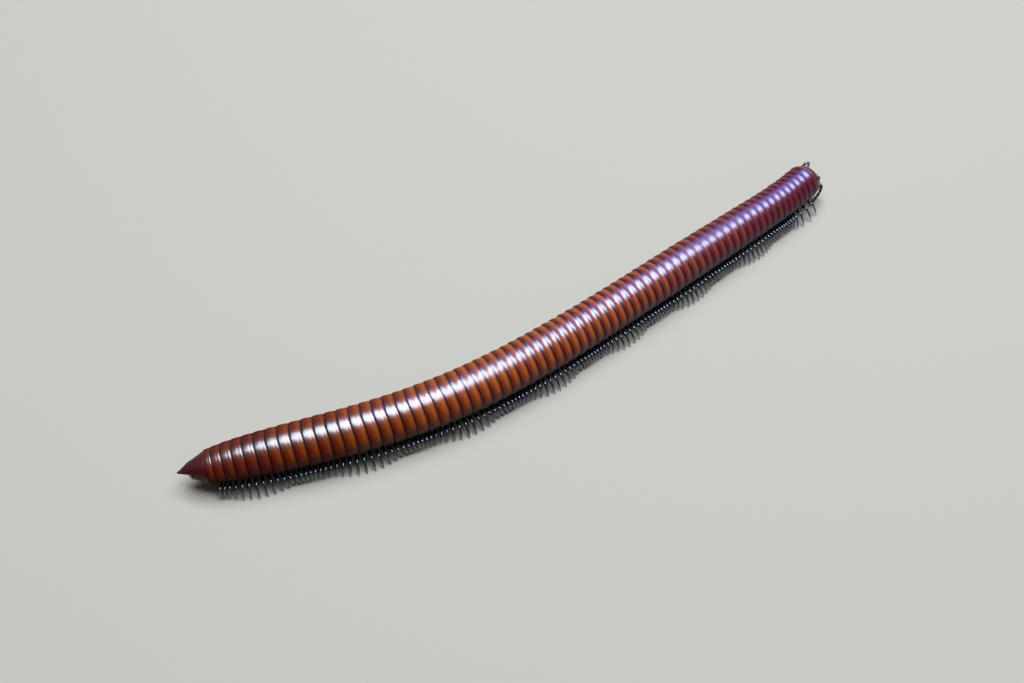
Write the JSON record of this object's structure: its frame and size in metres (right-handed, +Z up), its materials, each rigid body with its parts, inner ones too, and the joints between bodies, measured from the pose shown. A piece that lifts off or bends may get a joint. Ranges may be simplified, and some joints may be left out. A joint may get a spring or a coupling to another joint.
{
  "type": "asian giant millipede",
  "caption": "Life-size giant millipede walking: long ringed body, bent-down head with short antennae, many slender legs and a pointed tail.",
  "frame": {"origin": "on the floor, under the middle of the animal's box", "axes": "+X from the tail tip towards the head, +Y to the animal's left, +Z up"},
  "size_m": [0.2022, 0.0308, 0.0149],
  "materials": {
    "ring_cuticle": "glossy dark maroon rings with lighter orange-brown front bands",
    "head_cuticle": "glossy red-brown head and valves",
    "black_cuticle": "glossy near-black antennae and eyes"
  },
  "bodies": {
    "root": {"head": "head_cuticle", "eye_left": "black_cuticle", "eye_right": "black_cuticle", "antenna_left": "black_cuticle", "antenna_right": "black_cuticle", "collum": "ring_cuticle", "trunk_01": "ring_cuticle", "trunk_02": "ring_cuticle", "trunk_03": "ring_cuticle", "trunk_04": "ring_cuticle", "trunk_05": "ring_cuticle", "trunk_06": "ring_cuticle", "trunk_07": "ring_cuticle", "trunk_08": "ring_cuticle", "trunk_09": "ring_cuticle", "trunk_10": "ring_cuticle", "trunk_11": "ring_cuticle", "trunk_12": "ring_cuticle", "telson": "ring_cuticle", "valve_left": "head_cuticle", "valve_right": "head_cuticle"}
  },
  "joints": []
}
